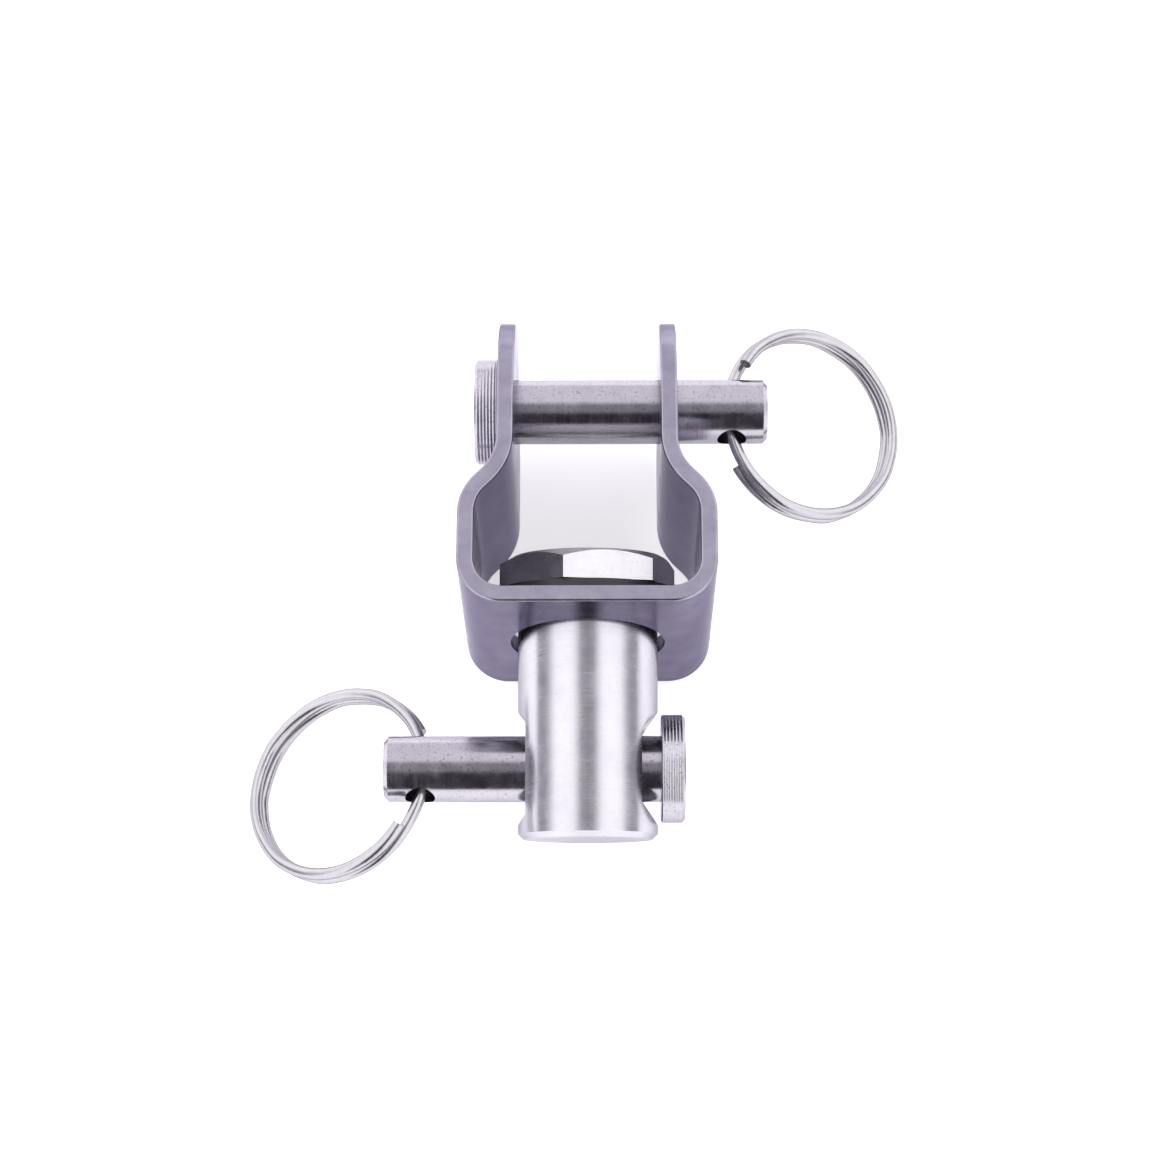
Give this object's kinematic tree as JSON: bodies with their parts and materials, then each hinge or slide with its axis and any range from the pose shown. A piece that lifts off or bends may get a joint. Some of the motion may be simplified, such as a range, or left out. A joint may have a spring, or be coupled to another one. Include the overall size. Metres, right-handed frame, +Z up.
{
  "type": "rigging swivel",
  "caption": "Stainless fork-and-eye rigging swivel: joggled strap jaw with clevis pin, turning barrel with cross pin, each pin kept by a split ring.",
  "frame": {"origin": "middle of the jaw pin's axis, halfway between the two ears and halfway across the strap's width", "axes": "+X along both clevis pins, towards the jaw pin's ring; +Y from the barrel to the jaw, along the strap; +Z up, across the strap's width, the swivel lying on its side"},
  "size_m": [0.0611, 0.0532, 0.0234],
  "materials": {
    "strap_steel": "polished stainless sheet",
    "pin_steel": "drawn stainless bar, fine turning marks",
    "ring_wire": "bright stainless spring wire",
    "washer_plastic": "black acetal",
    "bolt_steel": "bright stainless",
    "barrel_steel": "turned and polished stainless"
  },
  "bodies": {
    "strap": {"jaw_strap": "strap_steel"},
    "jaw_pin": {"jaw_pin": "pin_steel"},
    "jaw_ring": {"jaw_pin_ring": "ring_wire"},
    "washer": {"thrust_washer": "washer_plastic"},
    "swivel": {"barrel": "barrel_steel", "hex_bolt": "bolt_steel"},
    "barrel_pin": {"barrel_pin": "pin_steel"},
    "barrel_ring": {"barrel_pin_ring": "ring_wire"}
  },
  "joints": [
    {"name": "jaw_pin_slide", "type": "slide", "parent": "strap", "child": "jaw_pin", "axis": [1, 0, 0], "range_m": [-0.0025, 0.00018]},
    {"name": "jaw_ring_swing", "type": "hinge", "parent": "jaw_pin", "child": "jaw_ring", "pos_m": [0.0134, 0, 0], "axis": [0, 0.9925, -0.1219], "range_deg": [-97, 43]},
    {"name": "swivel_tilt", "type": "hinge", "parent": "strap", "child": "washer", "pos_m": [0, -0.02115, 0.0078], "axis": [-1, 0, 0], "range_deg": [0, 11.4]},
    {"name": "swivel_turn", "type": "hinge", "parent": "washer", "child": "swivel", "pos_m": [0, -0.01966, 0.00014], "axis": [0, 0.9803, 0.1977], "continuous": true},
    {"name": "barrel_pin_slide", "type": "slide", "parent": "swivel", "child": "barrel_pin", "axis": [1, 0, 0], "range_m": [-0.00173, 0.003]},
    {"name": "barrel_ring_swing", "type": "hinge", "parent": "barrel_pin", "child": "barrel_ring", "pos_m": [-0.0151, -0.03382, -0.00271], "axis": [0, 0.9703, -0.2419], "range_deg": [-43.2, 96.8]}
  ]
}
